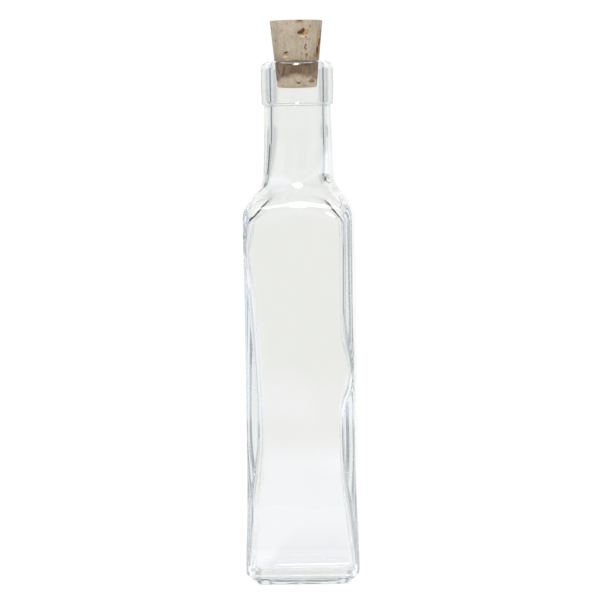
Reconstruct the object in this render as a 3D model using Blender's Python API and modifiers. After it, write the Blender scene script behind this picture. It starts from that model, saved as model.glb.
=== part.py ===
"""A corked square glass oil bottle at its real size: Blender 4.5, metres, +Z up.

The glass is one closed skin, lofted from the middle of the underside, up the outside, over the lip and down
the inside to the middle of the floor. Its sections change from a rounded square to a circle at the shoulder.
The cork is a tapered plug that stands half out of the mouth. The origin is at the middle of the base, on the
surface that the bottle stands on, and the four faces look along +X, -X, +Y and -Y.
"""

from math import asin, atan2, cos, pi, sin, sqrt

import bmesh
import bpy
from mathutils import Vector

MM = 0.001

# Glass, outside, in millimetres. A half width is the distance from the axis to a flat face.
HEIGHT = 216.1
WAIST_HALF = 22.4  # the faces are drawn in a little over the middle of the body
HEEL_HALF = 23.4
SHOULDER_HALF = 22.6
BODY_CORNER = 4.4  # radius of the body's upright edges
HEEL_RISE = 4.6  # the bevel that runs round under the heel
HEEL_RUN = 5.3
FOOT_CORNER = 2.0
RECESS_RADIUS = 14.5  # hollow under the base, inside the flat foot
RECESS_DEPTH = 1.2
WAIST_FROM, WAIST_TO = 48.6, 103.6

# Shoulder: a cone that meets the square body and the round neck in wide fillets. Over ROUNDING the section
# goes from square to round, partly by a growing corner radius and partly by a blend with the circle.
CONE_RADIUS, CONE_Z, CONE_SPREAD = 16.14, 162.6, 1.242
SHOULDER_FILLET = 8.0
NECK_FILLET = 9.6
ROUNDING = (154.6, 165.6)
CORNER_GROWTH = 0.6
NECK_TOP_RADIUS, NECK_TOP_Z, NECK_TAPER = 13.8, 196.1, 0.0286

# Finish: the collar at the mouth.
COLLAR_Z = 198.3
COLLAR_LOW_RADIUS, COLLAR_RADIUS = 14.8, 15.05
LIP_ROUND = 3.3
MOUTH_RADIUS = 9.5
MOUTH_ROUND = 1.6
THROAT_LENGTH = 0.3  # the narrow part under the mouth's rounded edge
BORE_RADIUS = 10.5
BORE_STEP = 1.1

# Glass, inside. The front and back walls have one thickness. The two side walls are thicker and thinner along
# the height, as in blown glass: pairs of height and thickness.
WALL = 2.5
CAVITY_CORNER = 2.3
FLOOR_Z, FLOOR_DOME = 3.6, 0.6
FLOOR_ROUND = 2.8
CAVITY_LOW_CORNER = 2.5
CAVITY_SHOULDER_DROP = 3.4  # how far below the outer shoulder the inner one lies
CAVITY_NECK_WIDEN = 0.95
CAVITY_FILLET = 6.0
CAVITY_ROUNDING = (150.9, 160.9)
LEFT_WALL = (
    (5, 1.7), (22, 2.3), (36, 2.4), (48, 3.4), (61, 4.5), (81, 4.3), (102, 3.4), (119, 2.6), (137, 1.6),
    (149, 2.4), (159, 3.0), (169, 1.8),
)
RIGHT_WALL = (
    (5, 1.8), (32, 3.0), (49, 4.2), (65, 4.5), (73, 4.0), (80, 2.3), (87, 1.7), (94, 2.2), (100, 3.0),
    (109, 3.5), (121, 3.5), (139, 3.4), (151, 3.6), (169, 4.4),
)
SHIFT_FADE = (158.6, 186.6)  # where the hollow comes back to the axis
NARROW_FADE = (144.6, 164.6)

# Cork.
CORK_LOW, CORK_TOP = 205.5, 233.0
CORK_LOW_RADIUS, CORK_TOP_RADIUS = 8.2, 11.0
CORK_EDGE = 0.35
CORK_SIDES = 64

FLAT_STEPS, CORNER_STEPS = 7, 5  # points of a section on each face and on each upright edge


def smoothstep(low, high, value):
    """0 below low, 1 above high, and an even curve between them."""
    t = min(max((value - low) / (high - low), 0.0), 1.0)
    return t * t * (3 - 2 * t)


def smooth_min(a, b, width):
    """The smaller of a and b, with a fillet where they come within width of each other."""
    return min(a, b) - max(1.0 - abs(a - b) / width, 0.0) ** 3 * width / 6


def smooth_max(a, b, width):
    """The larger of a and b, with a fillet where they come within width of each other."""
    return max(a, b) + max(1.0 - abs(a - b) / width, 0.0) ** 3 * width / 6


def along(table, z):
    """A smooth curve through the (height, value) pairs of the table."""
    if z <= table[0][0]:
        return table[0][1]
    if z >= table[-1][0]:
        return table[-1][1]
    last = len(table) - 1
    at = max(index for index in range(last) if table[index][0] <= z)
    points = [table[min(max(at + step, 0), last)] for step in (-1, 0, 1, 2)]
    (z0, v0), (z1, v1), (z2, v2), (z3, v3) = points
    span = z2 - z1
    t = (z - z1) / span
    rise_in = (v2 - v0) / (z2 - z0) * span
    rise_out = (v3 - v1) / (z3 - z1) * span
    return (
        v1 * (1 + 2 * t) * (1 - t) ** 2
        + rise_in * t * (1 - t) ** 2
        + v2 * t * t * (3 - 2 * t)
        + rise_out * t * t * (t - 1)
    )


def square_reach(angle, half, corner):
    """How far a square with rounded corners reaches from its middle in one direction."""
    c, s = sorted((abs(cos(angle)), abs(sin(angle))), reverse=True)
    flat = half - corner
    if half * s / c <= flat:
        return half / c
    along_diagonal = flat * (c + s)
    return along_diagonal + sqrt(along_diagonal**2 - 2 * flat**2 + corner**2)


def body_half(z):
    """Half width of the body at height z: widest at the heel, drawn in at the waist."""
    drawn_in = (HEEL_HALF - WAIST_HALF) * smoothstep(HEEL_RISE, WAIST_FROM, z)
    let_out = (SHOULDER_HALF - WAIST_HALF) * smoothstep(WAIST_TO, CONE_Z, z)
    return HEEL_HALF - drawn_in + let_out


def neck_radius(z):
    return NECK_TOP_RADIUS + NECK_TAPER * (NECK_TOP_Z - z)


def rounded_share(z, heights):
    """0 where the section is square, 1 where it has turned into a circle."""
    share = (z - heights[0]) / (heights[1] - heights[0])
    return smooth_min(smooth_max(share, 0.0, 0.4), 1.0, 0.4)


def section_angles():
    """Directions round a section: even along each flat face, and closer together round each corner."""
    edge = atan2(SHOULDER_HALF - BODY_CORNER, SHOULDER_HALF)
    quarter = [-edge + 2 * edge * i / FLAT_STEPS for i in range(FLAT_STEPS)]
    quarter += [edge + (pi / 2 - 2 * edge) * i / CORNER_STEPS for i in range(CORNER_STEPS)]
    return [pi / 2 * side + angle for side in range(4) for angle in quarter]


def ring(z, half, corner, roundness=0.0, shift=0.0, narrow=1.0):
    """One section at height z: a rounded square, blended with the circle of the same half width."""
    points = []
    for angle in section_angles():
        reach = square_reach(angle, half, corner) * (1 - roundness) + half * roundness
        points.append(Vector((reach * cos(angle) * narrow + shift, reach * sin(angle), z)) * MM)
    return points


def outside_ring(z):
    """The outside of the body, the shoulder and the neck."""
    cone = CONE_RADIUS + CONE_SPREAD * (CONE_Z - z)
    turned = smooth_max(neck_radius(z), cone, NECK_FILLET)
    half = smooth_min(body_half(z), turned, SHOULDER_FILLET)
    share = rounded_share(z, ROUNDING)
    return ring(z, half, BODY_CORNER + (half - BODY_CORNER) * share * CORNER_GROWTH, share)


def inside_ring(z, at=None, pulled_in=0.0):
    """The inside, from the floor to the top of the neck, with its uneven side walls.

    at is the height whose size is used, and pulled_in narrows it: both are for the rounded floor.
    """
    at = z if at is None else at
    cone = CONE_RADIUS + CONE_SPREAD * (CONE_Z - CAVITY_SHOULDER_DROP - at)
    neck = BORE_RADIUS + CAVITY_NECK_WIDEN * (1 - smoothstep(156.6, 190.6, at))
    square = body_half(at) - WALL
    half = smooth_min(square, smooth_max(neck, cone, NECK_FILLET), CAVITY_FILLET) - pulled_in
    corner = CAVITY_LOW_CORNER + (CAVITY_CORNER - CAVITY_LOW_CORNER) * smoothstep(15.0, 60.0, at)
    share = rounded_share(at, CAVITY_ROUNDING)
    corner += (half - corner) * share * CORNER_GROWTH - pulled_in / 2
    left, right = along(LEFT_WALL, at), along(RIGHT_WALL, at)
    shift = (left - right) / 2 * (1 - smoothstep(*SHIFT_FADE, at))
    narrow = 1 - ((left + right) / 2 - WALL) / square * (1 - smoothstep(*NARROW_FADE, at))
    return ring(z, half, corner, share, shift, narrow)


def turned_ring(radius, z):
    return ring(z, radius, radius, 1.0)


def arc(centre_radius, centre_z, size, start, end, steps):
    """Turned rings along an arc. start and end are in degrees from level outwards, and up is 90."""
    turns = [(start + (end - start) * i / steps) * pi / 180 for i in range(steps + 1)]
    return [turned_ring(centre_radius + size * cos(t), centre_z + size * sin(t)) for t in turns]


def steps(start, end, count):
    return [start + (end - start) * i / count for i in range(count + 1)]


def base_rings():
    """The hollow under the base, the flat foot, and the bevel up to the heel."""
    dome = [asin(1.0) * i / 4 for i in range(1, 4)]
    hollow = [turned_ring(RECESS_RADIUS * sin(t), RECESS_DEPTH * cos(t)) for t in dome]
    foot = ring(0.0, HEEL_HALF - HEEL_RUN, FOOT_CORNER)
    return hollow + [turned_ring(RECESS_RADIUS, 0.0), foot, outside_ring(HEEL_RISE)]


def outside_rings():
    heights = steps(9.0, WAIST_FROM, 3) + [78.0] + steps(WAIST_TO, 143.0, 2)
    heights += steps(145.0, 171.0, 17) + steps(175.0, COLLAR_Z - 0.7, 3)
    return [outside_ring(z) for z in heights]


def collar_rings():
    """The step under the collar, its side, the rounded lip, the mouth's edge and the bore below it."""
    step = (COLLAR_LOW_RADIUS - neck_radius(COLLAR_Z)) / 2
    throat_low = HEIGHT - MOUTH_ROUND - THROAT_LENGTH
    return [
        turned_ring(neck_radius(COLLAR_Z) + step, COLLAR_Z - 0.25),
        turned_ring(COLLAR_LOW_RADIUS, COLLAR_Z + 0.5),
        *arc(COLLAR_RADIUS - LIP_ROUND, HEIGHT - LIP_ROUND, LIP_ROUND, 0, 90, 5),
        *arc(MOUTH_RADIUS + MOUTH_ROUND, HEIGHT - MOUTH_ROUND, MOUTH_ROUND, 90, 180, 4),
        turned_ring(MOUTH_RADIUS, throat_low),
        turned_ring(BORE_RADIUS, throat_low - BORE_STEP),
        turned_ring(BORE_RADIUS, COLLAR_Z + 1.0),
    ]


def inside_rings():
    heights = steps(NECK_TOP_Z, 172.0, 4) + steps(170.0, 140.0, 18)
    heights += [134.0, 127.0, 119.0, 109.0, 100.0, 94.0, 87.0, 80.0, 73.0, 65.0, 57.0, 49.0, 42.0, 32.0, 18.0]
    low = FLOOR_Z + FLOOR_ROUND
    rounded = [(low - FLOOR_ROUND * sin(t), FLOOR_ROUND * (1 - cos(t))) for t in steps(0.0, pi / 2, 4)]
    rings = [inside_ring(z) for z in heights]
    rings += [inside_ring(z, low, pulled_in) for z, pulled_in in rounded]
    return rings + [turned_ring(8.0, FLOOR_Z + FLOOR_DOME * 0.6)]


def lofted(rings, first_pole, last_pole):
    """A closed mesh through the rings, with a point at each end."""
    mesh = bmesh.new()
    rows = [[mesh.verts.new(point) for point in points] for points in rings]
    count = len(rows[0])
    for low, high in zip(rows, rows[1:]):
        for i in range(count):
            j = (i + 1) % count
            mesh.faces.new((low[i], low[j], high[j], high[i]))
    for pole, row, order in ((first_pole, rows[0], -1), (last_pole, rows[-1], 1)):
        tip = mesh.verts.new(pole)
        for i in range(count):
            mesh.faces.new((tip, row[i], row[(i + 1) % count])[::order])
    bmesh.ops.recalc_face_normals(mesh, faces=mesh.faces)
    return mesh


def finish_material(name, colour, roughness, transmission=0.0, ior=1.5):
    material = bpy.data.materials.new(name)
    material.use_nodes = True
    shader = material.node_tree.nodes["Principled BSDF"]
    shader.inputs["Base Color"].default_value = (*colour, 1.0)
    shader.inputs["Roughness"].default_value = roughness
    shader.inputs["Metallic"].default_value = 0.0
    shader.inputs["Transmission Weight"].default_value = transmission
    shader.inputs["IOR"].default_value = ior
    return material


def add_object(name, mesh, material, collection):
    """Turns a bmesh into a named object, smooth except over sharp edges."""
    data = bpy.data.meshes.new(name)
    mesh.to_mesh(data)
    mesh.free()
    data.materials.append(material)
    data.shade_smooth()
    data.set_sharp_from_angle(angle=35 * pi / 180)
    made = bpy.data.objects.new(name, data)
    collection.objects.link(made)
    return made


def make_bottle(collection):
    glass = finish_material("clear_glass", (0.95, 0.98, 0.97), 0.0, transmission=1.0, ior=1.52)
    rings = base_rings() + outside_rings() + collar_rings() + inside_rings()
    under = Vector((0, 0, RECESS_DEPTH)) * MM
    floor = Vector((0, 0, FLOOR_Z + FLOOR_DOME)) * MM
    return add_object("bottle", lofted(rings, under, floor), glass, collection)


def make_cork(collection):
    cork_bark = finish_material("cork_bark", (0.60, 0.49, 0.38), 0.85)
    mesh = bmesh.new()
    bmesh.ops.create_cone(
        mesh,
        cap_ends=True,
        segments=CORK_SIDES,
        radius1=CORK_LOW_RADIUS * MM,
        radius2=CORK_TOP_RADIUS * MM,
        depth=(CORK_TOP - CORK_LOW) * MM,
    )
    cork = add_object("cork", mesh, cork_bark, collection)
    cork.location.z = (CORK_TOP + CORK_LOW) / 2 * MM
    edge = cork.modifiers.new("worn_edge", "BEVEL")
    edge.width = CORK_EDGE * MM
    edge.segments = 2
    edge.limit_method = "ANGLE"
    return cork


def main():
    for old in list(bpy.data.objects):
        bpy.data.objects.remove(old)
    collection = bpy.data.collections.new("corked_glass_bottle")
    bpy.context.scene.collection.children.link(collection)
    make_bottle(collection)
    make_cork(collection)


main()
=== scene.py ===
"""A corked square glass oil bottle, as its glass blower and cork cutter made it, around the CAD frame."""

from math import cos, pi, radians, sin, sqrt

import bpy
from mathutils import Matrix, Vector


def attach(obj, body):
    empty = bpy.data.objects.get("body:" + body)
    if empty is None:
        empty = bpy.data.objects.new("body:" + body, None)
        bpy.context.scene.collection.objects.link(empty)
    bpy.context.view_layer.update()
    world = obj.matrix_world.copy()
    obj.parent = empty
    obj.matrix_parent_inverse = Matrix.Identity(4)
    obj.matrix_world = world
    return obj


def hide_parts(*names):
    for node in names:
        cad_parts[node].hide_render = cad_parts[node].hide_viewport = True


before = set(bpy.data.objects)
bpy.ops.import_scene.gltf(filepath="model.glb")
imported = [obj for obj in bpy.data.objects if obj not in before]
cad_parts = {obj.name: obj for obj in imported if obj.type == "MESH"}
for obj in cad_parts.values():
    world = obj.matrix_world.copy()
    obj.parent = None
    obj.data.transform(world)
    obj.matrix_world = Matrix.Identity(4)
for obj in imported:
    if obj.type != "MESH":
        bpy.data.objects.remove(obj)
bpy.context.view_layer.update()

MM = 0.001
SEAM_GAP = 2e-6  # points closer than this many metres are one point

# Glass outside, in millimetres: the same sizes as the CAD bottle.
HEIGHT = 216.1
WAIST_HALF, HEEL_HALF, SHOULDER_HALF = 22.4, 23.4, 22.6
BODY_CORNER = 4.4
HEEL_RISE, HEEL_RUN, FOOT_CORNER = 4.6, 5.3, 2.0
RECESS_RADIUS, RECESS_DEPTH = 14.5, 1.2
WAIST_FROM, WAIST_TO = 48.6, 103.6
CONE_RADIUS, CONE_Z, CONE_SPREAD = 16.14, 162.6, 1.242
SHOULDER_FILLET, NECK_FILLET = 8.0, 9.6
ROUNDING, CAVITY_ROUNDING = (154.6, 165.6), (150.9, 160.9)  # heights between which the square turns round
CORNER_GROWTH = 0.6  # how much of the rounding is done by a growing corner radius
SHOULDER_LOW, SHOULDER_HIGH = 139.2, 174.6  # rows lie close together between these heights
NECK_TOP_RADIUS, NECK_TOP_Z, NECK_TAPER = 13.8, 196.1, 0.0286
COLLAR_Z, COLLAR_LOW_RADIUS, COLLAR_RADIUS = 198.3, 14.8, 15.05
COLLAR_WIDENING = (199.6, 205.6)
COLLAR_FILLET, COLLAR_EDGE = 0.7, 0.6
LIP_ROUND, MOUTH_RADIUS, MOUTH_ROUND = 3.3, 9.5, 1.6
THROAT_LENGTH, BORE_RADIUS, BORE_STEP = 0.3, 10.5, 1.1

# Glass inside. The two side walls are thicker and thinner along the height, as blown glass is.
WALL = 2.5
CAVITY_LOW_CORNER, CAVITY_CORNER, CORNER_CHANGE = 2.5, 2.3, (15.0, 60.0)
FLOOR_Z, FLOOR_DOME, FLOOR_ROUND, FLOOR_REACH = 3.6, 0.6, 2.8, 12.0
CAVITY_SHOULDER_DROP, CAVITY_FILLET = 3.4, 6.0
NECK_FLARE, NECK_FLARE_HEIGHTS = 0.95, (156.6, 190.6)
LEFT_WALL = (
    (5, 1.7), (22, 2.3), (36, 2.4), (48, 3.4), (61, 4.5), (81, 4.3), (102, 3.4), (119, 2.6), (137, 1.6),
    (149, 2.4), (159, 3.0), (169, 1.8),
)
RIGHT_WALL = (
    (5, 1.8), (32, 3.0), (49, 4.2), (65, 4.5), (73, 4.0), (80, 2.3), (87, 1.7), (94, 2.2), (100, 3.0),
    (109, 3.5), (121, 3.5), (139, 3.4), (151, 3.6), (169, 4.4),
)
SHIFT_FADE, NARROW_FADE = (158.6, 186.6), (144.6, 164.6)  # where the walls become even

# Cork.
CORK_LOW, CORK_TOP = 205.5, 233.0
CORK_LOW_RADIUS, CORK_TOP_RADIUS = 8.2, 11.0
CORK_EDGE = 0.35
CORK_SLOPE = (CORK_TOP_RADIUS - CORK_LOW_RADIUS) / (CORK_TOP - CORK_LOW)
MARK_DEPTH = 4.0
FRONT_HEADING = 2.6  # the cork's best side, in degrees round from straight ahead


def smoothstep(low, high, value):
    t = min(max((value - low) / (high - low), 0.0), 1.0)
    return t * t * (3 - 2 * t)


def smooth_max(a, b, width):
    return max(a, b) + max(1.0 - abs(a - b) / width, 0.0) ** 3 * width / 6


def smooth_min(a, b, width):
    return min(a, b) - max(1.0 - abs(a - b) / width, 0.0) ** 3 * width / 6


def along(table, z):
    """A smooth curve through the (height, value) pairs of the table."""
    if z <= table[0][0]:
        return table[0][1]
    if z >= table[-1][0]:
        return table[-1][1]
    last = len(table) - 1
    at = max(index for index in range(last) if table[index][0] <= z)
    points = [table[min(max(at + step, 0), last)] for step in (-1, 0, 1, 2)]
    (z0, v0), (z1, v1), (z2, v2), (z3, v3) = points
    span = z2 - z1
    t = (z - z1) / span
    rise_in = (v2 - v0) / (z2 - z0) * span
    rise_out = (v3 - v1) / (z3 - z1) * span
    return (
        v1 * (1 + 2 * t) * (1 - t) ** 2
        + rise_in * t * (1 - t) ** 2
        + v2 * t * t * (3 - 2 * t)
        + rise_out * t * t * (t - 1)
    )


def spread(start, end, count):
    """count + 1 even values from start to end."""
    return [start + (end - start) * i / count for i in range(count + 1)]


def body_half(z):
    drawn_in = (HEEL_HALF - WAIST_HALF) * smoothstep(HEEL_RISE, WAIST_FROM, z)
    let_out = (SHOULDER_HALF - WAIST_HALF) * smoothstep(WAIST_TO, CONE_Z, z)
    return HEEL_HALF - drawn_in + let_out


def neck_radius(z):
    return NECK_TOP_RADIUS + NECK_TAPER * (NECK_TOP_Z - z)


def rounded_share(z, heights):
    """0 where the body is square, 1 where it has turned into a circle."""
    share = (z - heights[0]) / (heights[1] - heights[0])
    return smooth_min(smooth_max(share, 0.0, 0.4), 1.0, 0.4)


# ---------------------------------------------------------------------------------------------- glass profile
# A row is (height, half width, corner radius, roundness, sideways shift, sideways narrowing, unevenness
# of the wall). Roundness 0 is the rounded square of that corner radius, 1 is the circle.


def round_row(z, radius, uneven=0.0):
    return (z, radius, radius, 1.0, 0.0, 1.0, uneven)


def outside_row(z):
    cone = CONE_RADIUS + CONE_SPREAD * (CONE_Z - z)
    turned = smooth_max(neck_radius(z), cone, NECK_FILLET)
    half = smooth_min(body_half(z), turned, SHOULDER_FILLET)
    share = rounded_share(z, ROUNDING)
    corner = BODY_CORNER + (half - BODY_CORNER) * share * CORNER_GROWTH
    return (z, half, corner, share, 0.0, 1.0, 0.0)


def inside_row(z, at=None, pulled_in=0.0):
    """The cavity at height z, with the shape that it has at height at, and drawn in by pulled_in."""
    at = z if at is None else at
    above = at + CAVITY_SHOULDER_DROP
    cone = CONE_RADIUS + CONE_SPREAD * (CONE_Z - above)
    neck = BORE_RADIUS + NECK_FLARE * (1 - smoothstep(*NECK_FLARE_HEIGHTS, at))
    turned = smooth_max(neck, cone, NECK_FILLET)
    square = body_half(at) - WALL
    half = smooth_min(square, turned, CAVITY_FILLET) - pulled_in
    corner = CAVITY_LOW_CORNER + (CAVITY_CORNER - CAVITY_LOW_CORNER) * smoothstep(*CORNER_CHANGE, at)
    share = rounded_share(at, CAVITY_ROUNDING)
    corner += (half - corner) * share * CORNER_GROWTH - pulled_in / 2
    left, right = along(LEFT_WALL, at), along(RIGHT_WALL, at)
    shift = (left - right) / 2 * (1 - smoothstep(*SHIFT_FADE, at))
    narrow = 1 - ((left + right) / 2 - WALL) / square * (1 - smoothstep(*NARROW_FADE, at))
    return (z, half, corner, share, shift, narrow, 1.0)


def arc_rows(centre_radius, centre_z, size, start, end, steps):
    turns = [radians(value) for value in spread(start, end, steps)]
    return [round_row(centre_z + size * sin(t), centre_radius + size * cos(t)) for t in turns]


def softened(rows, at, size, steps=5):
    """Rounds the profile's corner at index at: the row becomes a short even curve of rows."""
    before, here, after = rows[at - 1], rows[at], rows[at + 1]

    def toward(other):
        gap = sqrt((other[0] - here[0]) ** 2 + (other[1] - here[1]) ** 2)
        share = min(size / gap, 0.45)
        return [h + (o - h) * share for h, o in zip(here, other)]

    first, last = toward(before), toward(after)
    curve = []
    for t in spread(0.0, 1.0, steps):
        curve.append(
            tuple((1 - t) ** 2 * a + 2 * t * (1 - t) * b + t * t * c for a, b, c in zip(first, here, last))
        )
    return rows[:at] + curve + rows[at + 1 :]


def glass_rows():
    """The whole profile, from the middle of the underside, up the outside and down the inside."""
    foot_half = HEEL_HALF - HEEL_RUN
    rows = [round_row(RECESS_DEPTH, 0.0)]
    rows += [
        round_row(RECESS_DEPTH * cos(t), RECESS_RADIUS * sin(t)) for t in spread(0.0, pi / 2, 14)[1:-1]
    ]
    rows += [round_row(0.0, RECESS_RADIUS + 0.5)]
    inner_foot = (0.0, foot_half - 3.0, FOOT_CORNER, 0.0, 0.0, 1.0, 0.0)
    foot = (0.0, foot_half, FOOT_CORNER, 0.0, 0.0, 1.0, 0.0)
    base = [inner_foot, foot, outside_row(HEEL_RISE), outside_row(HEEL_RISE + 3.0)]
    base = softened(base, 1, 0.5)
    base = softened(base, len(base) - 2, 0.7)
    rows += base
    rows += [outside_row(z) for z in spread(HEEL_RISE + 5.0, SHOULDER_LOW - 0.6, 44)]
    rows += [outside_row(z) for z in spread(SHOULDER_LOW, SHOULDER_HIGH, 64)]
    rows += [outside_row(z) for z in spread(SHOULDER_HIGH + 2.0, COLLAR_Z - 1.4, 12)]
    rows += arc_rows(neck_radius(COLLAR_Z) + COLLAR_FILLET, COLLAR_Z - 0.4, COLLAR_FILLET, 180, 90, 5)[:-1]
    rows += arc_rows(COLLAR_LOW_RADIUS - COLLAR_EDGE, COLLAR_Z + 0.5, COLLAR_EDGE, -60, 0, 4)
    for z in spread(COLLAR_Z + 1.6, HEIGHT - LIP_ROUND - 0.4, 12):
        widened = (COLLAR_RADIUS - COLLAR_LOW_RADIUS) * smoothstep(*COLLAR_WIDENING, z)
        rows.append(round_row(z, COLLAR_LOW_RADIUS + widened))
    rows += arc_rows(COLLAR_RADIUS - LIP_ROUND, HEIGHT - LIP_ROUND, LIP_ROUND, 0, 90, 14)
    rows += arc_rows(MOUTH_RADIUS + MOUTH_ROUND, HEIGHT - MOUTH_ROUND, MOUTH_ROUND, 90, 180, 9)
    throat = HEIGHT - MOUTH_ROUND - THROAT_LENGTH
    lip = [
        round_row(throat, MOUTH_RADIUS),
        round_row(throat - BORE_STEP * 0.5, BORE_RADIUS),
        round_row(throat - BORE_STEP * 2.0, BORE_RADIUS),
    ]
    rows += softened(lip, 1, 0.5, 6)
    rows += [round_row(z, BORE_RADIUS) for z in spread(throat - BORE_STEP * 2.6, COLLAR_Z + 1.3, 8)]
    rows += [inside_row(z) for z in spread(COLLAR_Z - 0.2, SHOULDER_HIGH, 20)]
    rows += [inside_row(z) for z in spread(SHOULDER_HIGH - 0.6, SHOULDER_LOW - 2.6, 70)]
    low = FLOOR_Z + FLOOR_ROUND
    rows += [inside_row(z) for z in spread(SHOULDER_LOW - 3.6, low, 70)]
    for t in spread(0.0, pi / 2, 12)[1:]:
        rows.append(inside_row(low - FLOOR_ROUND * sin(t), low, FLOOR_ROUND * (1 - cos(t))))
    for radius in spread(FLOOR_REACH - 1.0, 0.0, 10):
        rows.append(round_row(FLOOR_Z + FLOOR_DOME * (1 - (radius / FLOOR_REACH) ** 2), radius, 1.0))
    return rows


# ------------------------------------------------------------------------------------------- node tree helper


class Maker:
    """Adds nodes to a tree and joins them, one short call for each."""

    def __init__(self, tree):
        self.tree = tree

    def node(self, kind, inputs=(), **settings):
        made = self.tree.nodes.new(kind)
        for key, value in settings.items():
            setattr(made, key, value)
        pairs = inputs.items() if isinstance(inputs, dict) else enumerate(inputs)
        for key, value in pairs:
            if value is None:
                continue
            if isinstance(value, bpy.types.NodeSocket):
                self.tree.links.new(value, made.inputs[key])
            else:
                made.inputs[key].default_value = value
        return made

    def math(self, operation, *values):
        return self.node("ShaderNodeMath", values, operation=operation).outputs[0]

    def add(self, *values):
        return self.math("ADD", *values)

    def sub(self, *values):
        return self.math("SUBTRACT", *values)

    def mul(self, *values):
        return self.math("MULTIPLY", *values)

    def div(self, *values):
        return self.math("DIVIDE", *values)

    def low(self, *values):
        return self.math("MINIMUM", *values)

    def high(self, *values):
        return self.math("MAXIMUM", *values)

    def xyz(self, x, y, z):
        return self.node("ShaderNodeCombineXYZ", (x, y, z)).outputs[0]

    def part(self, vector, axis):
        return self.node("ShaderNodeSeparateXYZ", (vector,)).outputs[axis]

    def ease(self, value, low, high, to_low=0.0, to_high=1.0):
        """A smooth step of the value from to_low at low to to_high at high."""
        return self.node(
            "ShaderNodeMapRange",
            {"Value": value, "From Min": low, "From Max": high, "To Min": to_low, "To Max": to_high},
            interpolation_type="SMOOTHSTEP",
        ).outputs[0]

    def within(self, value, edges):
        """1 between the middle two edges, fading to 0 at the outer two."""
        return self.mul(self.ease(value, edges[0], edges[1]), self.ease(value, edges[2], edges[3], 1.0, 0.0))

    def mixed(self, share, first, second):
        return self.node("ShaderNodeMixRGB", (share, first, second)).outputs[0]

    def join(self, output, target):
        self.tree.links.new(output, target)


def new_shape_tree(name, sizes):
    """A Geometry Nodes tree with a mesh in and out, and a named float or integer input for each size."""
    tree = bpy.data.node_groups.new(name, "GeometryNodeTree")
    tree.interface.new_socket("Mesh", in_out="INPUT", socket_type="NodeSocketGeometry")
    tree.interface.new_socket("Mesh", in_out="OUTPUT", socket_type="NodeSocketGeometry")
    for label, value in sizes.items():
        kind = "NodeSocketInt" if isinstance(value, int) else "NodeSocketFloat"
        tree.interface.new_socket(label, in_out="INPUT", socket_type=kind)
    maker = Maker(tree)
    return tree, maker, maker.node("NodeGroupInput"), maker.node("NodeGroupOutput")


def shaped_by(name, source, tree, sizes):
    """Runs the tree on the source mesh with these sizes and returns the result as a plain mesh object."""
    carrier = bpy.data.objects.new(name + "_rows", source)
    bpy.context.scene.collection.objects.link(carrier)
    modifier = carrier.modifiers.new("shape", "NODES")
    modifier.node_group = tree
    for item in tree.interface.items_tree:
        if item.in_out == "INPUT" and item.name in sizes:
            modifier[item.identifier] = sizes[item.name]
    bpy.context.view_layer.update()
    evaluated = carrier.evaluated_get(bpy.context.evaluated_depsgraph_get())
    mesh = bpy.data.meshes.new_from_object(evaluated)
    mesh.name = name
    bpy.data.objects.remove(carrier)
    made = bpy.data.objects.new(name, mesh)
    bpy.context.scene.collection.objects.link(made)
    return made


def rows_mesh(name, rows, columns):
    """A mesh of loose points, one for each row, that carries the row's values as attributes."""
    mesh = bpy.data.meshes.new(name)
    mesh.from_pydata([(0.0, 0.0, index * MM) for index in range(len(rows))], [], [])
    for column, label in enumerate(columns):
        layer = mesh.attributes.new(label, "FLOAT", "POINT")
        layer.data.foreach_set("value", [float(row[column]) for row in rows])
    return mesh


GLASS_COLUMNS = ("height", "half", "corner", "roundness", "shift", "narrow", "uneven")
GLASS_SIZES = {
    "Sides": 216,
    "Rows": 0,
    "Corner Crowding": 0.62,
    "Wall Wave": 0.35,
    "Wall Wave Length": 38.0,
}


def row_grid(m, given):
    """A flat grid with Sides + 1 columns, and for each of its points the row and the column."""
    sides, rows = given.outputs["Sides"], given.outputs["Rows"]
    grid = m.node(
        "GeometryNodeMeshGrid",
        {"Size X": 1.0, "Size Y": 1.0, "Vertices X": m.add(sides, 1.0), "Vertices Y": rows},
    )
    index = m.node("GeometryNodeInputIndex").outputs[0]
    # Grid points run along Y first, so a point's row is its index modulo the number of rows.
    row = m.math("MODULO", index, rows)
    return grid.outputs["Mesh"], row, m.math("FLOOR", m.div(m.add(index, 0.5), rows))


def of_row(m, given, row, label):
    """The value that the point's row carries under that name."""
    field = m.node("GeometryNodeInputNamedAttribute", {"Name": label}, data_type="FLOAT")
    return m.node(
        "GeometryNodeSampleIndex",
        {"Geometry": given.outputs[0], "Value": field.outputs[0], "Index": row},
        data_type="FLOAT",
        domain="POINT",
    ).outputs[0]


def finished_skin(m, grid, place):
    """The grid moved to its places, given in millimetres."""
    metres = m.node("ShaderNodeVectorMath", (place, (MM, MM, MM)), operation="MULTIPLY").outputs[0]
    return m.node("GeometryNodeSetPosition", {"Geometry": grid, "Position": metres}).outputs[0]


def finish_tree(m, shape, material, result):
    smooth = m.node("GeometryNodeSetShadeSmooth", {"Geometry": shape})
    real = m.node("GeometryNodeRealizeInstances", (smooth.outputs[0],))
    painted = m.node("GeometryNodeSetMaterial", {"Geometry": real.outputs[0], "Material": material})
    m.join(painted.outputs[0], result.inputs[0])


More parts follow.
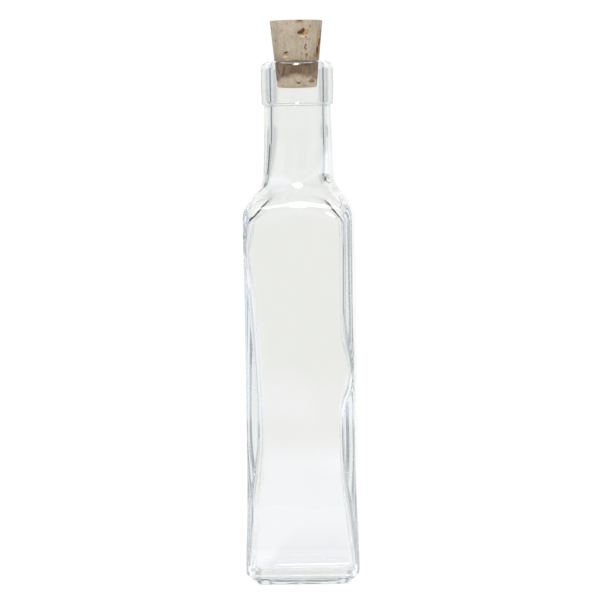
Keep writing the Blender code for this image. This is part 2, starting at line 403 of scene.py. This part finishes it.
def glass_tree(glass):
    """Loft of rounded squares that turn into circles, with an uneven inner wall."""
    tree, m, given, result = new_shape_tree("blown_square_bottle", GLASS_SIZES)
    grid, row, column = row_grid(m, given)
    turn = m.mul(m.div(column, given.outputs["Sides"]), 2 * pi)
    quarter = m.math("SINE", m.mul(turn, 4.0))
    angle = m.add(turn, m.mul(m.mul(quarter, given.outputs["Corner Crowding"]), 0.25))
    height, half, corner, roundness, shift, narrow, uneven = [
        of_row(m, given, row, label) for label in GLASS_COLUMNS
    ]
    # The angle is measured from the row's flat face, so that one corner formula serves all eight.
    across, up = m.math("COSINE", angle), m.math("SINE", angle)
    a = m.math("ABSOLUTE", across)
    b = m.math("ABSOLUTE", up)
    major, minor = m.high(a, b), m.low(a, b)
    flat = m.sub(half, corner)
    on_flat = m.div(half, major)
    along = m.mul(flat, m.add(major, minor))
    inner = m.add(m.sub(m.mul(along, along), m.mul(m.mul(flat, flat), 2.0)), m.mul(corner, corner))
    on_corner = m.add(along, m.math("SQRT", m.high(inner, 0.0)))
    is_flat = m.math("LESS_THAN", m.mul(on_flat, minor), flat)
    square = m.add(m.mul(on_flat, is_flat), m.mul(on_corner, m.sub(1.0, is_flat)))
    reach = m.add(m.mul(square, m.sub(1.0, roundness)), m.mul(half, roundness))
    place = m.xyz(m.mul(across, reach), m.mul(up, reach), height)
    drawn = m.node("ShaderNodeVectorMath", (place, (1.0, 1.0, 0.75)), operation="MULTIPLY").outputs[0]
    length = m.div(1.0, given.outputs["Wall Wave Length"])
    noise = m.node("ShaderNodeTexNoise", {"Vector": drawn, "Scale": length, "Detail": 1.0, "Roughness": 0.4})
    wave = m.mul(m.sub(noise.outputs[0], 0.5), m.mul(given.outputs["Wall Wave"], 2.0))
    wave = m.mul(m.mul(wave, uneven), m.ease(reach, 3.0, 9.0))
    pushed = m.add(reach, wave)
    x = m.add(m.mul(m.mul(across, pushed), narrow), shift)
    y = m.mul(up, pushed)
    shape = finished_skin(m, grid, m.xyz(x, y, height))
    merged = m.node("GeometryNodeMergeByDistance", {"Geometry": shape, "Distance": SEAM_GAP})
    finish_tree(m, merged.outputs[0], glass, result)
    return tree


# ---------------------------------------------------------------------------------------------------- cork

CORK_COLUMNS = ("height", "radius", "out", "up")
CORK_SIZES = {"Sides": 300, "Rows": 0, "Skin": 0.07, "Pit Depth": 0.55, "Ragged": 0.9, "Grain": 1.6}

# Marks of the bark: kind, heading from the front in degrees, height, half length, half height in mm, tilt in
# degrees, strength. A heading of 90 is the right side.
CORK_MARKS = (
    ("pit", 8.0, 232.5, 1.6, 0.35, 4, 0.9),
    ("rust", 9.0, 231.9, 2.3, 0.6, 0, 0.7),
    ("pit", 10.0, 227.7, 1.7, 0.75, 14, 1.0),
    ("pit", 15.0, 228.3, 1.5, 0.9, 60, 1.0),
    ("rust", 17.0, 227.9, 3.0, 1.5, 5, 1.0),
    ("rust", 27.0, 228.2, 1.0, 1.0, 0, 0.8),
    ("pale", 18.0, 226.1, 2.2, 0.45, -4, 1.0),
    ("pit", 23.0, 225.9, 0.5, 0.3, 0, 0.9),
    ("rust", 33.0, 230.3, 0.7, 0.9, 0, 0.9),
    ("pit", 31.0, 230.5, 0.25, 0.3, 0, 0.7),
    ("pit", 22.5, 222.2, 0.9, 0.22, 52, 1.0),
    ("pit", 22.5, 221.0, 0.9, 0.22, -48, 1.0),
    ("rust", 24.0, 221.6, 0.8, 0.6, 0, 0.6),
    ("pit", -28.0, 219.5, 1.1, 0.4, 12, 1.0),
    ("rust", -27.0, 218.9, 1.7, 0.9, 0, 0.8),
    ("pale", -30.0, 217.8, 1.7, 0.6, 8, 1.0),
    ("rust", 26.0, 218.4, 0.8, 1.0, 0, 0.9),
    ("pit", 26.5, 218.8, 0.35, 0.4, 0, 0.8),
    ("pit", 79.0, 227.6, 1.3, 1.7, 8, 1.0),
    ("pit", 74.0, 224.0, 1.5, 1.9, -8, 1.0),
    ("pit", 67.0, 220.4, 1.5, 2.1, 10, 1.0),
    ("rust", 70.0, 223.6, 3.0, 7.0, 8, 0.9),
    ("rust", 62.0, 218.8, 2.8, 2.0, 0, 1.0),
    ("pit", 60.0, 218.2, 0.5, 0.7, 0, 0.8),
    ("rust", -38.0, 212.8, 2.6, 2.4, 20, 1.0),
    ("pit", -36.0, 211.4, 0.5, 2.6, -20, 0.9),
    ("pit", -52.0, 211.6, 0.7, 1.2, 0, 0.8),
    ("pit", 4.0, 206.9, 0.9, 0.35, 0, 1.0),
    ("rust", 42.0, 207.6, 2.0, 0.9, 6, 1.0),
    ("pit", 46.0, 207.4, 1.0, 0.4, 6, 0.8),
    ("rust", 52.0, 209.8, 0.8, 1.0, 0, 1.0),
    ("pit", -60.0, 224.6, 0.5, 0.5, 0, 0.6),
    ("rust", 128.0, 228.1, 3.4, 1.1, 4, 1.0),
    ("pit", 130.0, 228.2, 2.4, 0.5, 4, 1.0),
    ("rust", 158.0, 220.6, 1.8, 3.2, 0, 0.8),
    ("pit", 156.0, 221.1, 0.5, 2.4, 6, 1.0),
    ("pit", 187.0, 229.6, 1.2, 0.5, -10, 1.0),
    ("rust", 203.0, 224.6, 2.8, 1.3, -8, 1.0),
    ("pit", 205.0, 224.8, 1.9, 0.5, -8, 1.0),
    ("pale", 205.0, 223.2, 2.2, 0.5, -8, 0.9),
    ("pit", 232.0, 219.6, 0.9, 0.5, 20, 1.0),
    ("rust", 246.0, 228.4, 1.6, 1.0, 0, 0.8),
    ("pit", 262.0, 223.6, 0.5, 1.9, -6, 1.0),
    ("rust", 263.0, 223.2, 1.5, 2.8, -6, 0.9),
    ("pit", 286.0, 230.0, 0.8, 0.4, 0, 0.9),
    ("rust", 172.0, 210.6, 2.2, 1.3, 0, 0.9),
    ("pit", 174.0, 210.6, 1.3, 0.4, 0, 0.9),
    ("pit", 110.0, 217.4, 0.6, 1.0, 0, 0.9),
)
# Marks on the flat ends: kind, x, y, height, half length, half width, turn in degrees, strength.
CORK_END_MARKS = (
    ("pit", -3.4, 1.8, CORK_TOP, 2.6, 0.4, 12, 1.0),
    ("rust", -3.2, 2.0, CORK_TOP, 3.6, 1.0, 12, 0.9),
    ("pit", 3.8, -2.6, CORK_TOP, 1.8, 0.4, 8, 1.0),
    ("rust", 4.0, -2.4, CORK_TOP, 2.6, 0.9, 8, 0.8),
    ("pit", 1.4, 5.4, CORK_TOP, 0.9, 0.35, 20, 0.9),
    ("pit", -2.0, -6.2, CORK_TOP, 1.1, 0.3, 4, 0.9),
    ("pale", -1.0, -4.6, CORK_TOP, 1.9, 0.5, 10, 0.8),
    ("pit", 2.2, 1.2, CORK_LOW, 1.6, 0.35, 12, 1.0),
    ("rust", -2.6, -2.2, CORK_LOW, 2.2, 0.8, 10, 0.9),
)


def cork_radius(z):
    return CORK_LOW_RADIUS + CORK_SLOPE * (z - CORK_LOW)


def cork_rows():
    """From the middle of the lower end, up the side and over the top, each row with its outward normal."""
    side = (1 / sqrt(1 + CORK_SLOPE**2), -CORK_SLOPE / sqrt(1 + CORK_SLOPE**2))
    rows = [(CORK_LOW, r, 0.0, -1.0) for r in spread(0.0, CORK_LOW_RADIUS - CORK_EDGE - 0.15, 22)]
    for t in spread(-75.0, -15.0, 4):
        c, s = cos(radians(t)), sin(radians(t))
        rows.append((CORK_LOW + CORK_EDGE * (1 + s), CORK_LOW_RADIUS - CORK_EDGE * (1 - c), c, s))
    for z in spread(CORK_LOW + 0.45, CORK_TOP - 0.45, 128):
        rows.append((z, cork_radius(z), *side))
    for t in spread(15.0, 75.0, 4):
        c, s = cos(radians(t)), sin(radians(t))
        rows.append((CORK_TOP - CORK_EDGE * (1 - s), CORK_TOP_RADIUS - CORK_EDGE * (1 - c), c, s))
    rows += [(CORK_TOP, r, 0.0, 1.0) for r in spread(CORK_TOP_RADIUS - CORK_EDGE - 0.15, 0.0, 28)]
    return rows


def placed_marks():
    """Every mark as kind, centre, three scaled axes and strength."""
    marks = []
    for kind, heading, z, length, height, tilt, strength in CORK_MARKS:
        turn = radians(heading + FRONT_HEADING - 90.0)
        out = Vector((cos(turn), sin(turn), 0.0))
        around = Vector((-sin(turn), cos(turn), 0.0))
        up = Vector((0.0, 0.0, 1.0))
        c, s = cos(radians(tilt)), sin(radians(tilt))
        axes = ((around * c + up * s) / length, (up * c - around * s) / height, out / MARK_DEPTH)
        marks.append((kind, out * cork_radius(z) + up * z, axes, strength))
    for kind, x, y, z, length, width, turn, strength in CORK_END_MARKS:
        c, s = cos(radians(turn)), sin(radians(turn))
        axes = (Vector((c, s, 0.0)) / length, Vector((-s, c, 0.0)) / width, Vector((0.0, 0.0, 0.4)))
        marks.append((kind, Vector((x, y, z)), axes, strength))
    return marks


def cork_tree(bark):
    """A tapered plug, its skin grained and set with ragged lenticels that are cut in as pits."""
    tree, m, given, result = new_shape_tree("cut_cork_plug", CORK_SIZES)
    grid, row, column = row_grid(m, given)
    height, radius, out, up = [of_row(m, given, row, label) for label in CORK_COLUMNS]
    turn = m.mul(m.div(column, given.outputs["Sides"]), 2 * pi)
    across, along_y = m.math("COSINE", turn), m.math("SINE", turn)
    place = m.xyz(m.mul(across, radius), m.mul(along_y, radius), height)
    ragged = m.node(
        "ShaderNodeTexNoise", {"Vector": place, "Scale": 1.1, "Detail": 3.0, "Roughness": 0.6}
    ).outputs["Color"]
    ragged = m.node("ShaderNodeVectorMath", (ragged, (0.5, 0.5, 0.5)), operation="SUBTRACT").outputs[0]
    ragged = m.node("ShaderNodeVectorMath", {0: ragged, "Scale": given.outputs["Ragged"]}, operation="SCALE")
    torn = m.node("ShaderNodeVectorMath", (place, ragged.outputs[0]), operation="ADD").outputs[0]
    fields = {"pit": 0.0, "rust": 0.0, "pale": 0.0}
    for kind, centre, axes, strength in placed_marks():
        offset = m.node("ShaderNodeVectorMath", (torn, centre), operation="SUBTRACT").outputs[0]
        shares = [
            m.node("ShaderNodeVectorMath", (offset, axis), operation="DOT_PRODUCT").outputs["Value"]
            for axis in axes
        ]
        reach = m.node("ShaderNodeVectorMath", (m.xyz(*shares),), operation="LENGTH").outputs["Value"]
        here = m.ease(reach, 0.65, 1.1, strength, 0.0)
        fields[kind] = m.high(fields[kind], here)
    skin = m.node(
        "ShaderNodeTexNoise", {"Vector": place, "Scale": given.outputs["Grain"], "Detail": 4.0}
    ).outputs[0]
    sunk = m.add(m.mul(fields["pit"], given.outputs["Pit Depth"]), m.mul(skin, given.outputs["Skin"]))
    x = m.mul(across, m.sub(radius, m.mul(out, sunk)))
    y = m.mul(along_y, m.sub(radius, m.mul(out, sunk)))
    z = m.sub(height, m.mul(up, sunk))
    shape = finished_skin(m, grid, m.xyz(x, y, z))
    for label, field in fields.items():
        shape = m.node(
            "GeometryNodeStoreNamedAttribute",
            {"Geometry": shape, "Name": label, "Value": field},
            data_type="FLOAT",
            domain="POINT",
        ).outputs[0]
    merged = m.node("GeometryNodeMergeByDistance", {"Geometry": shape, "Distance": SEAM_GAP})
    finish_tree(m, merged.outputs[0], bark, result)
    return tree


# -------------------------------------------------------------------------------------------------- materials


def new_material(name):
    material = bpy.data.materials.new(name)
    material.use_nodes = True
    return material, Maker(material.node_tree), material.node_tree.nodes["Principled BSDF"]


GLASS_DEPTH = (0.7, 0.76, 0.78)


def clear_glass():
    """Polished soda-lime glass, greener with depth. The bump is the faint unevenness of a moulded skin."""
    material, m, shader = new_material("clear_glass")
    shader.inputs["Base Color"].default_value = (0.94, 0.945, 0.94, 1.0)
    shader.inputs["Roughness"].default_value = 0.0
    shader.inputs["Transmission Weight"].default_value = 1.0
    shader.inputs["IOR"].default_value = 1.52
    place = m.node("ShaderNodeTexCoord").outputs["Object"]
    skin = m.node("ShaderNodeTexNoise", {"Vector": place, "Scale": 120.0, "Detail": 2.0})
    bump = m.node("ShaderNodeBump", {"Height": skin.outputs[0], "Strength": 0.02, "Distance": 0.0002})
    m.join(bump.outputs[0], shader.inputs["Normal"])
    depth = m.node("ShaderNodeVolumeAbsorption", {"Color": (*GLASS_DEPTH, 1.0), "Density": 9.0})
    m.join(depth.outputs[0], material.node_tree.nodes["Material Output"].inputs["Volume"])
    return material


# Colours of the cork's skin, the painted light that makes the cork inside the mouth lighter and warmer, and
# the painted shade of the glass lip in a band just inside the mouth.
BARK_PALE, BARK_DULL, BARK_PAINTED_LIGHT = (0.58, 0.49, 0.35), (0.48, 0.41, 0.29), (0.98, 0.78, 0.52)
BARK_RUST, BARK_CREAM = (0.46, 0.25, 0.09), (0.8, 0.62, 0.34)
BARK_PIT, BARK_PAINTED_SHADE = (0.1, 0.045, 0.02), (0.24, 0.11, 0.03)
LIP_SHADE_LOW, IN_MOUTH_TOP, LIP_SHADE_SHARE, LIP_SHADE_SAG = (208.9, 211.0), (215.4, 216.4), 0.97, 0.25


def cork_bark():
    """Cut cork: a pale grained ground, rusty and pale patches round dark lenticels, painted light and shade
    inside the mouth.
    """
    material, m, shader = new_material("cork_bark")
    place = m.node("ShaderNodeTexCoord").outputs["Object"]

    def noise(scale, stretch=(1.0, 1.0, 1.0), detail=3.0, roughness=0.5):
        vector = m.node("ShaderNodeVectorMath", (place, stretch), operation="MULTIPLY").outputs[0]
        settings = {"Vector": vector, "Scale": scale, "Detail": detail, "Roughness": roughness}
        return m.node("ShaderNodeTexNoise", settings).outputs[0]

    def mark(label):
        return m.node("ShaderNodeAttribute", attribute_name=label).outputs["Fac"]

    clouds = m.ease(noise(160.0), 0.35, 0.65)
    colour = m.mixed(clouds, (*BARK_DULL, 1), (*BARK_PALE, 1))
    height = m.add(m.part(place, 2), m.mul(m.sub(noise(220.0), 0.5), 0.004))
    # Painted light: below the top of the mouth the cork is painted lighter and warmer, standing in for the
    # light lost in the glass.
    in_mouth_light = m.ease(height, IN_MOUTH_TOP[0] * MM, IN_MOUTH_TOP[1] * MM, 0.85, 0.0)
    colour = m.mixed(in_mouth_light, colour, (*BARK_PAINTED_LIGHT, 1))
    fibres = m.ease(noise(1100.0, (1.0, 1.0, 0.12), 2.0), 0.3, 0.7, 0.92, 1.06)
    grains = m.ease(noise(1500.0, detail=2.0), 0.25, 0.75, 0.86, 1.1)
    shade = m.mul(fibres, grains)
    shade = m.xyz(shade, shade, shade)
    colour = m.node("ShaderNodeVectorMath", (colour, shade), operation="MULTIPLY").outputs[0]
    freckles = m.ease(noise(620.0, detail=1.0), 0.66, 0.72)
    colour = m.mixed(m.mul(freckles, 0.6), colour, (*BARK_RUST, 1))
    # Painted shade: a darker band just inside the mouth, reaching lower at the sides, stands in for the shade
    # of the glass lip.
    edge = m.add(height, m.mul(m.math("ABSOLUTE", m.part(place, 0)), LIP_SHADE_SAG))
    lip_shade = m.mul(
        m.ease(edge, LIP_SHADE_LOW[0] * MM, LIP_SHADE_LOW[1] * MM),
        m.ease(height, IN_MOUTH_TOP[0] * MM, IN_MOUTH_TOP[1] * MM, 1.0, 0.0),
    )
    lip_shade = m.mul(lip_shade, m.ease(noise(420.0, detail=2.0), 0.3, 0.62, 0.72, 1.0))
    colour = m.mixed(m.mul(lip_shade, LIP_SHADE_SHARE), colour, (*BARK_PAINTED_SHADE, 1))
    breaks = m.ease(noise(900.0, detail=2.0), 0.3, 0.6)
    colour = m.mixed(m.mul(mark("rust"), m.add(m.mul(breaks, 0.4), 0.5)), colour, (*BARK_RUST, 1))
    colour = m.mixed(m.mul(mark("pale"), 0.85), colour, (*BARK_CREAM, 1))
    colour = m.mixed(m.mul(mark("pit"), 0.92), colour, (*BARK_PIT, 1))
    m.join(colour, shader.inputs["Base Color"])
    shader.inputs["Roughness"].default_value = 0.85
    shader.inputs["Specular IOR Level"].default_value = 0.25
    relief = m.add(m.mul(grains, 0.6), m.mul(fibres, 0.4))
    bump = m.node("ShaderNodeBump", {"Height": relief, "Strength": 0.5, "Distance": 0.0003})
    m.join(bump.outputs[0], shader.inputs["Normal"])
    return material


# Brightness of the table's glow: behind the bottle, beside it and before it. Then the painted shade under its
# foot, which ends between two distances from the middle, and a fainter lane of painted shade behind it, all
# in millimetres.
TABLE_BEHIND, TABLE_BESIDE, TABLE_BEFORE = (1.06, 1.06, 1.08), (0.72, 0.76, 0.8), (1.1, 1.06, 1.25)
PAPER_RADIUS, PAPER_SIDES, PAPER_Z = 450.0, 96, -0.02
PAPER_CHANGE = (-30.0, -150.0)
SHADE_FROM, SHADE_TO, SHADE = 14.0, 23.0, 0.75
LANE_FROM, LANE_TO, LANE_NEAR, LANE_FAR, LANE_DEPTH = 17.0, 22.0, 20.0, 400.0, 0.11


def floor_paper():
    """Paper that looks pale by its own glow, brighter and bluer in front, with painted shade under the
    bottle's foot and behind it.
    """
    material, m, shader = new_material("pale_paper")
    shader.inputs["Base Color"].default_value = (0.02, 0.02, 0.02, 1.0)
    place = m.node("ShaderNodeTexCoord").outputs["Object"]
    before = m.ease(m.part(place, 1), PAPER_CHANGE[0] * MM, PAPER_CHANGE[1] * MM)
    m.join(m.mixed(before, (*TABLE_BEHIND, 1), (*TABLE_BEFORE, 1)), shader.inputs["Emission Color"])
    aside, behind = m.math("ABSOLUTE", m.part(place, 0)), m.part(place, 1)
    reach = m.high(aside, m.math("ABSOLUTE", behind))
    # Painted shade: the glow is dimmed under the bottle's foot and in a lane behind it, by position, in place
    # of a cast shadow.
    foot = m.ease(reach, SHADE_FROM * MM, SHADE_TO * MM, SHADE, 1.0)
    painted_lane_shade = m.ease(aside, LANE_FROM * MM, LANE_TO * MM, LANE_DEPTH, 0.0)
    painted_lane_shade = m.mul(painted_lane_shade, m.ease(behind, 0.0, LANE_NEAR * MM))
    painted_lane_shade = m.mul(painted_lane_shade, m.ease(behind, LANE_NEAR * MM, LANE_FAR * MM, 1.0, 0.0))
    light = m.mul(foot, m.sub(1.0, painted_lane_shade))
    m.join(light, shader.inputs["Emission Strength"])
    shader.inputs["Roughness"].default_value = 0.9
    shader.inputs["Specular IOR Level"].default_value = 0.0
    return material


# ----------------------------------------------------------------------------------------------------- pieces


def make_glass():
    rows = glass_rows()
    sizes = dict(GLASS_SIZES, Rows=len(rows))
    source = rows_mesh("glass_rows", rows, GLASS_COLUMNS)
    return shaped_by("glass_body", source, glass_tree(clear_glass()), sizes)


def make_cork():
    rows = cork_rows()
    sizes = dict(CORK_SIZES, Rows=len(rows))
    source = rows_mesh("cork_rows", rows, CORK_COLUMNS)
    return shaped_by("cork_plug", source, cork_tree(cork_bark()), sizes)


def make_floor():
    data = bpy.data.meshes.new("studio_floor")
    turns = spread(0.0, 2 * pi, PAPER_SIDES)[:-1]
    radius = PAPER_RADIUS * MM
    points = [(radius * cos(turn), radius * sin(turn), PAPER_Z * MM) for turn in turns]
    data.from_pydata(points, [], [tuple(range(PAPER_SIDES))])
    data.materials.append(floor_paper())
    floor = bpy.data.objects.new("studio_floor", data)
    bpy.context.scene.collection.objects.link(floor)


# The light tent. Headings are in degrees from straight behind the bottle, and rises are in degrees above the
# horizon, or sines where a name ends in SINES. Four edges are a fade in and a fade out.
TENT_STOPS = (
    (0, (1.0, 1.0, 0.97)),
    (22, (1.0, 1.0, 0.97)),
    (38, (0.85, 0.87, 0.86)),
    (50, (0.55, 0.59, 0.62)),
    (70, (0.45, 0.48, 0.5)),
    (110, (0.45, 0.48, 0.5)),
    (140, (0.6, 0.6, 0.6)),
    (180, (0.6, 0.6, 0.6)),
)
SCREEN, SCREEN_RISES, SCREEN_END = (1.0, 1.0, 0.98), (-0.8, 0.4), (46, 50)
DIM_HEADINGS, DIM_STEP, DIM_DEPTHS, DIM_TOP_SINES = (14, 28), (39, 45), (0.36, 0.24), (0.12, 0.25)
# Patches of the walls: the edges of their headings, the edges of their rises as sines, and their colour.
WALL_PATCHES = (
    ((53, 55, 58, 60), (-0.0349, -0.01745, 0.08716, 0.13917), (0.08, 0.09, 0.1)),  # gap beside the screen
    ((60, 66, 128, 140), (-0.02, 0.01, 0.3, 0.4), (0.84, 0.87, 0.92)),  # pale side wall
    ((38, 41, 50, 53), (0.1, 0.14, 0.35, 0.38), (0.12, 0.13, 0.14)),  # dark gap behind each back corner
    ((20, 23, 39, 42), (0.36, 0.375, 0.405, 0.42), (0.15, 0.16, 0.17)),  # dark rail above it
)
UPPER_RISES, UPPER_HEADINGS = (42, 47), (10, 22)
UPPER_WALL, CEILING, CEILING_RISES = 0.1, 0.65, (55, 75)
TABLE_FAR_SINES, TABLE_EDGE_SINES = (-0.042, -0.072), (-0.115, -0.145)
TABLE_SIDE_HEADINGS, TABLE_FRONT_HEADINGS = (40, 52), (125, 150)
SOFTBOX, SOFTBOX_EDGE = 9.0, (0.85, 1.1)
SOFTBOX_RISE, SOFTBOX_HALF_WIDTH, SOFTBOX_HALF_HEIGHT = 55, 18, 13
BACKDROP = (1.02, 1.02, 1.02, 1)  # what shows round the bottle


def make_light():
    """A white studio tent: bright behind, greyer at the corners, with a softbox above the front."""
    world = bpy.data.worlds.new("studio_tent")
    bpy.context.scene.world = world
    world.use_nodes = True
    m = Maker(world.node_tree)
    world.node_tree.nodes.clear()
    direction = m.node("ShaderNodeTexCoord").outputs["Generated"]
    x, y, z = [m.part(direction, axis) for axis in range(3)]
    heading = m.math("ABSOLUTE", m.math("ARCTAN2", x, y))  # 0 behind the bottle, pi in front of it
    rise = m.math("ARCSINE", z)

    def turned(value, edges, to_low=0.0, to_high=1.0):
        """A smooth step between two angles given in degrees."""
        return m.ease(value, radians(edges[0]), radians(edges[1]), to_low, to_high)

    ramp = m.node("ShaderNodeValToRGB", (m.div(heading, pi),))
    for _ in range(len(TENT_STOPS) - 2):
        ramp.color_ramp.elements.new(0.5)
    for element, (degrees, colour) in zip(ramp.color_ramp.elements, TENT_STOPS):
        element.position = degrees / 180
        element.color = (*colour, 1)
    dimmed = m.mul(turned(heading, DIM_HEADINGS), turned(heading, DIM_STEP, *DIM_DEPTHS))
    dimmed = m.mul(dimmed, m.ease(z, *DIM_TOP_SINES, 1.0, 0.0))
    screen = m.mul(turned(rise, SCREEN_RISES), turned(heading, SCREEN_END, 1.0, 0.0))
    around = m.mixed(screen, ramp.outputs[0], m.mixed(dimmed, (*SCREEN, 1), (0.0, 0.0, 0.0, 1)))
    for headings, rises, colour in WALL_PATCHES:
        across = m.within(heading, [radians(value) for value in headings])
        around = m.mixed(m.mul(across, m.within(z, rises)), around, (*colour, 1))
    upper = m.mul(turned(rise, UPPER_RISES), turned(heading, UPPER_HEADINGS))
    ceiling = turned(rise, CEILING_RISES, UPPER_WALL, CEILING)
    around = m.mixed(upper, around, m.xyz(ceiling, ceiling, ceiling))
    beside = m.mixed(m.ease(z, *TABLE_EDGE_SINES), (*TABLE_BESIDE, 1), (*TABLE_BEHIND, 1))
    table = m.mixed(turned(heading, TABLE_SIDE_HEADINGS), (*TABLE_BEHIND, 1), beside)
    table = m.mixed(turned(heading, TABLE_FRONT_HEADINGS), table, (*TABLE_BEFORE, 1))
    around = m.mixed(m.ease(z, *TABLE_FAR_SINES), around, table)
    aside = m.div(m.sub(pi, heading), radians(SOFTBOX_HALF_WIDTH))
    above = m.div(m.sub(rise, radians(SOFTBOX_RISE)), radians(SOFTBOX_HALF_HEIGHT))
    off_centre = m.math("SQRT", m.add(m.math("POWER", aside, 2.0), m.math("POWER", above, 2.0)))
    box = m.ease(off_centre, *SOFTBOX_EDGE, 1.0, 0.0)
    around = m.mixed(box, around, (SOFTBOX, SOFTBOX, SOFTBOX, 1))
    around = m.mixed(m.node("ShaderNodeLightPath").outputs["Is Camera Ray"], around, BACKDROP)
    background = m.node("ShaderNodeBackground", {"Color": around, "Strength": 1.0})
    output = m.node("ShaderNodeOutputWorld")
    m.join(background.outputs[0], output.inputs[0])


# Camera, in metres: how far, how high, how far round, where it aims and how wide it sees at the bottle.
CAMERA_DISTANCE, CAMERA_HEIGHT, CAMERA_HEADING = 1.75, 0.1572, radians(2.6)
AIM_HEIGHT, AIM_ASIDE, VIEW_WIDTH = 0.1169, -0.0002704, 0.2496
CAMERA_ROLL = radians(0.95)
SENSOR_WIDTH = 36.0


def make_camera():
    data = bpy.data.cameras.new("camera")
    data.sensor_width = SENSOR_WIDTH
    data.lens = SENSOR_WIDTH * CAMERA_DISTANCE / VIEW_WIDTH
    data.clip_start, data.clip_end = 0.05, 40.0
    camera = bpy.data.objects.new("camera", data)
    bpy.context.scene.collection.objects.link(camera)
    side = Vector((cos(CAMERA_HEADING), sin(CAMERA_HEADING), 0.0))
    back = Vector((sin(CAMERA_HEADING), -cos(CAMERA_HEADING), 0.0))
    camera.location = back * CAMERA_DISTANCE + Vector((0, 0, CAMERA_HEIGHT))
    aim = side * AIM_ASIDE + Vector((0, 0, AIM_HEIGHT))
    look = (aim - camera.location).to_track_quat("-Z", "Y").to_matrix()
    camera.matrix_world = Matrix.Translation(camera.location) @ (
        look @ Matrix.Rotation(-CAMERA_ROLL, 3, "Z")
    ).to_4x4()
    bpy.context.scene.camera = camera


def make_scene():
    bottle = make_glass()
    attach(bottle, "root")
    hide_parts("bottle")
    cork = make_cork()
    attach(cork, "root")
    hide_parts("cork")
    make_floor()
    make_light()
    make_camera()
    bpy.context.scene.view_settings.view_transform = "Standard"
    # Light turns back and forth many times inside thick glass.
    paths = bpy.context.scene.cycles
    paths.max_bounces = paths.transmission_bounces = paths.glossy_bounces = 128


make_scene()
